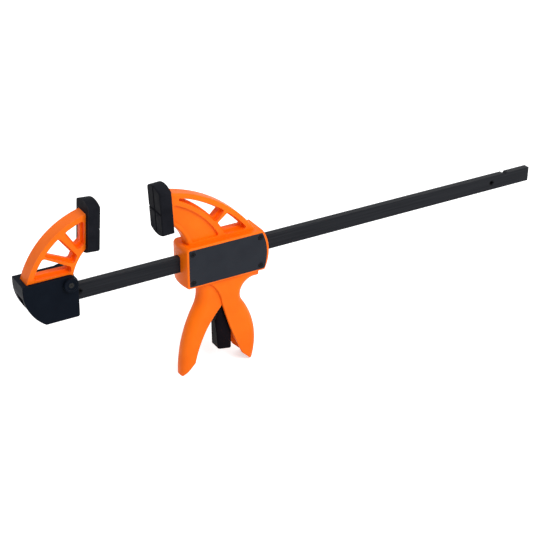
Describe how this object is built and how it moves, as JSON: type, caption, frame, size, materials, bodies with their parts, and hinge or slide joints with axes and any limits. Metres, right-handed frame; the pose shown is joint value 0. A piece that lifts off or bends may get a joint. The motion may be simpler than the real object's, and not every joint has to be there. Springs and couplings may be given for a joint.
{
  "type": "quick release bar clamp",
  "caption": "One-handed bar clamp: a fixed jaw locked on a flat steel bar and a trigger driven jaw with a release lever that slides along it, with grooved rubber pads.",
  "frame": {"origin": "centre of the stop pin in the bar beside the fixed jaw, on the bar's middle plane", "axes": "+X along the bar away from the fixed jaw, +Z from the bar towards the pads, +Y across the bar towards the rear cover"},
  "size_m": [0.5527, 0.0295, 0.1996],
  "materials": {
    "bar": "satin",
    "steel": "satin",
    "orange": "satin",
    "slate": "satin",
    "black": "satin",
    "pad": "matte",
    "screw": "satin",
    "spring": "satin"
  },
  "bodies": {
    "beam": {"bar": "bar", "stop_pins": "screw", "fixed_jaw_arm": "orange", "fixed_cover_front": "black", "fixed_cover_rear": "black", "fixed_cover_screws": "screw", "fixed_jaw_pad": "pad", "lock_spring": "spring"},
    "button": {"lock_button": "black", "lock_catch": "steel", "button_screw": "steel"},
    "slider": {"jaw_body": "orange", "movable_jaw_pad": "pad", "front_cover_plate": "slate", "rear_cover_plate": "slate", "front_cover_screws": "screw", "rear_cover_screws": "screw", "trigger_pivot_pin": "steel", "release_pivot_pin": "steel", "drive_spring": "spring", "brake_spring": "spring"},
    "squeeze": {"trigger": "orange"},
    "feed": {"drive_plates": "steel"},
    "release": {"release_lever": "black"},
    "brake": {"brake_plate": "steel"}
  },
  "joints": [
    {"name": "jaw_slide", "type": "slide", "parent": "beam", "child": "slider", "axis": [1, 0, 0], "range_m": [-0.05331, 0.2648]},
    {"name": "trigger_pull", "type": "hinge", "parent": "slider", "child": "squeeze", "pos_m": [0.1265, 0, 0.0109], "axis": [0, -1, 0], "range_deg": [0, 14], "stiffness_Nm_per_rad": 0.6, "springref_deg": -11.46, "deforming": ["drive_spring"]},
    {"name": "drive_feed", "type": "slide", "parent": "slider", "child": "feed", "axis": [1, 0, 0], "range_m": [0, 0.0057]},
    {"name": "release_pull", "type": "hinge", "parent": "slider", "child": "release", "pos_m": [0.157, 0, -0.0152], "axis": [0, -1, 0], "range_deg": [0, 10], "stiffness_Nm_per_rad": 0.25, "springref_deg": -11.46, "deforming": ["brake_spring"]},
    {"name": "brake_lift", "type": "hinge", "parent": "slider", "child": "brake", "pos_m": [0.1665, 0, 0.0135], "axis": [0, -1, 0], "range_deg": [0, 2.2]},
    {"name": "lock_press", "type": "slide", "parent": "beam", "child": "button", "axis": [0, 1, 0], "range_m": [0, 0.003], "stiffness_N_per_m": 800, "springref_m": -0.002, "deforming": ["lock_spring"]}
  ],
  "couplings": [
    {"joint": "drive_feed", "follows": "trigger_pull", "m_per_rad": 0.02313},
    {"joint": "brake_lift", "follows": "release_pull", "ratio": 0.2137}
  ]
}
